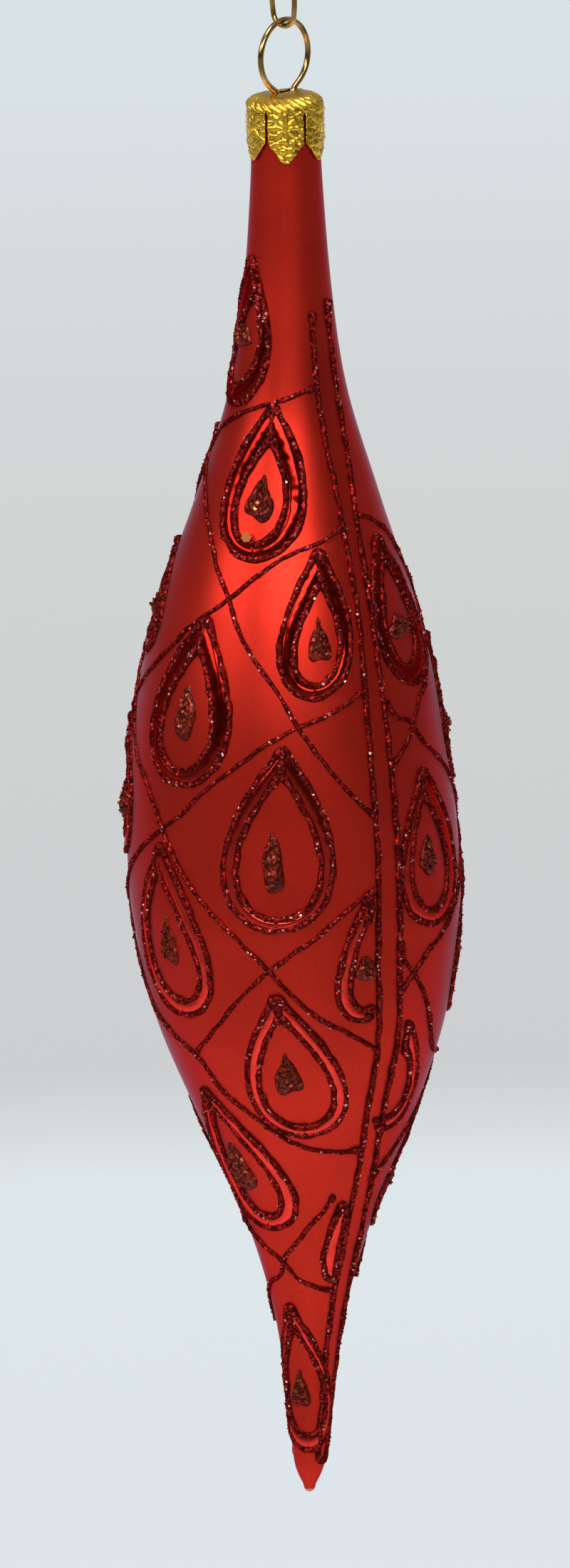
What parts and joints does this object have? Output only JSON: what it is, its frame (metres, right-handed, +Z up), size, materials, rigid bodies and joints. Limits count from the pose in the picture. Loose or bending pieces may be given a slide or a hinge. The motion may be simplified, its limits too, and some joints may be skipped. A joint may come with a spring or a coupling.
{
  "type": "olive-shaped bauble",
  "caption": "Long olive-shaped blown glass bauble with raised glitter lattice and teardrops, on a crown cap with wire hanger and hook, for hanging on a branch.",
  "frame": {"origin": "inner top of the hook's crook, the point that rests on a branch", "axes": "+Z up along the bauble's length; the hanger's ring lies in the XZ plane and the hook in the YZ plane, its crook opening towards +Y"},
  "size_m": [0.0511, 0.0509, 0.2603],
  "materials": {
    "red_glass": "opaque satin red lacquer with a metallic glow over silvered glass",
    "gold_cap": "bright gold lacquer on thin stamped sheet",
    "gold_wire": "polished brassed spring wire, slightly dulled",
    "red_glitter": "dark red glitter glue, grainy with bright flakes",
    "coarse_flake_glue": "clear brown-red glue with coarse red and gold flakes"
  },
  "bodies": {
    "hook": {"hook": "gold_wire"},
    "hanger": {"hanger": "gold_wire"},
    "cap": {"cap": "gold_cap"},
    "glass": {"glass": "red_glass", "back_stripes": "red_glitter", "centre_drop_01": "coarse_flake_glue", "centre_drop_02": "coarse_flake_glue", "centre_drop_03": "coarse_flake_glue", "centre_drop_04": "coarse_flake_glue", "centre_drop_05": "coarse_flake_glue", "centre_drop_06": "coarse_flake_glue", "centre_drop_07": "coarse_flake_glue", "centre_drop_08": "coarse_flake_glue", "centre_drop_09": "coarse_flake_glue", "centre_drop_10": "coarse_flake_glue", "centre_drop_12": "coarse_flake_glue", "centre_drop_14": "coarse_flake_glue", "centre_drop_15": "coarse_flake_glue", "centre_drop_16": "coarse_flake_glue", "centre_drop_17": "coarse_flake_glue", "centre_drop_18": "coarse_flake_glue", "centre_drop_19": "coarse_flake_glue", "centre_drop_20": "coarse_flake_glue", "centre_drop_21": "coarse_flake_glue", "centre_drop_22": "coarse_flake_glue", "centre_drop_23": "coarse_flake_glue", "centre_drop_24": "coarse_flake_glue", "centre_drop_25": "coarse_flake_glue", "centre_drop_26": "coarse_flake_glue", "front_stripes": "red_glitter", "left_lattice": "red_glitter", "right_lattice": "red_glitter", "tail_lattice": "red_glitter", "teardrop_01": "red_glitter", "teardrop_02": "red_glitter", "teardrop_03": "red_glitter", "teardrop_04": "red_glitter", "teardrop_05": "red_glitter", "teardrop_06": "red_glitter", "teardrop_07": "red_glitter", "teardrop_08": "red_glitter", "teardrop_09": "red_glitter", "teardrop_10": "red_glitter", "teardrop_11": "red_glitter", "teardrop_12": "red_glitter", "teardrop_13": "red_glitter", "teardrop_14": "red_glitter", "teardrop_15": "red_glitter", "teardrop_16": "red_glitter", "teardrop_17": "red_glitter", "teardrop_18": "red_glitter", "teardrop_19": "red_glitter", "teardrop_20": "red_glitter", "teardrop_21": "red_glitter", "teardrop_22": "red_glitter", "teardrop_23": "red_glitter", "teardrop_24": "red_glitter", "teardrop_25": "red_glitter", "teardrop_26": "red_glitter"}
  },
  "joints": [
    {"name": "hanger_swing", "type": "hinge", "parent": "hook", "child": "hanger", "pos_m": [0, 0, -0.03507], "axis": [1, 0, 0], "range_deg": [-120, 120]},
    {"name": "cap_slide", "type": "slide", "parent": "hanger", "child": "cap", "axis": [0, 0, 1], "range_m": [-0.007, 0]},
    {"name": "glass_pull", "type": "slide", "parent": "cap", "child": "glass", "axis": [0, 0, 1], "range_m": [-0.022, 0]}
  ]
}
